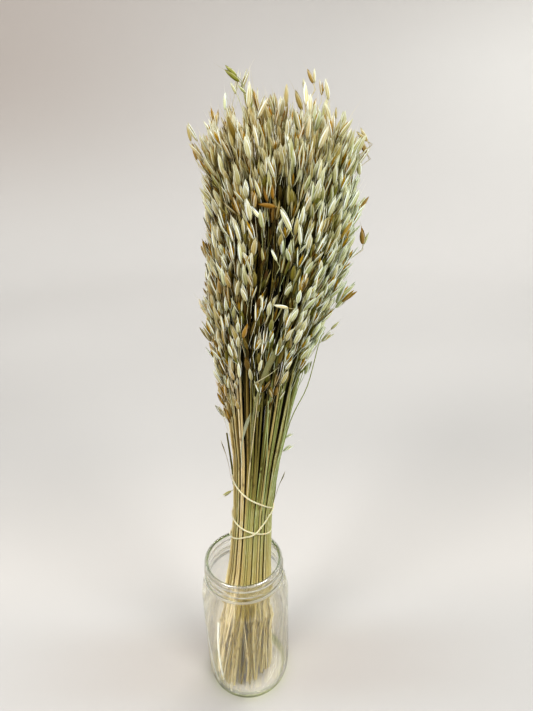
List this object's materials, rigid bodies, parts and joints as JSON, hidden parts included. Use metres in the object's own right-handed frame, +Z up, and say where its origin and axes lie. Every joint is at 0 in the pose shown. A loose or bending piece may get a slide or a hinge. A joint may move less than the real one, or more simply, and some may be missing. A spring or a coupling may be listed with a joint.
{
  "type": "dried oats bundle",
  "caption": "Tied bunch of dried oat stalks with full seed heads, held by a wound rubber band and standing in a clear glass jar.",
  "frame": {"origin": "middle of the underside of the glass jar, on the surface it stands on", "axes": "+Z up along the jar's axis; the view of the picture looks along +Y, with +X to its right"},
  "size_m": [0.1754, 0.1616, 0.649],
  "materials": {
    "clear_glass": "gloss",
    "band_rubber": "matte",
    "oat_green": "matte",
    "oat_gold": "matte",
    "oat_pale": "matte"
  },
  "bodies": {
    "root": {"glass_jar": "clear_glass", "rubber_band": "band_rubber", "oat_strand_right": "oat_green", "oat_strand_back_right": "oat_green", "oat_strand_back_left": "oat_gold", "oat_strand_left": "oat_gold", "oat_strand_front_left": "oat_pale", "oat_strand_front_right": "oat_pale"}
  },
  "joints": []
}
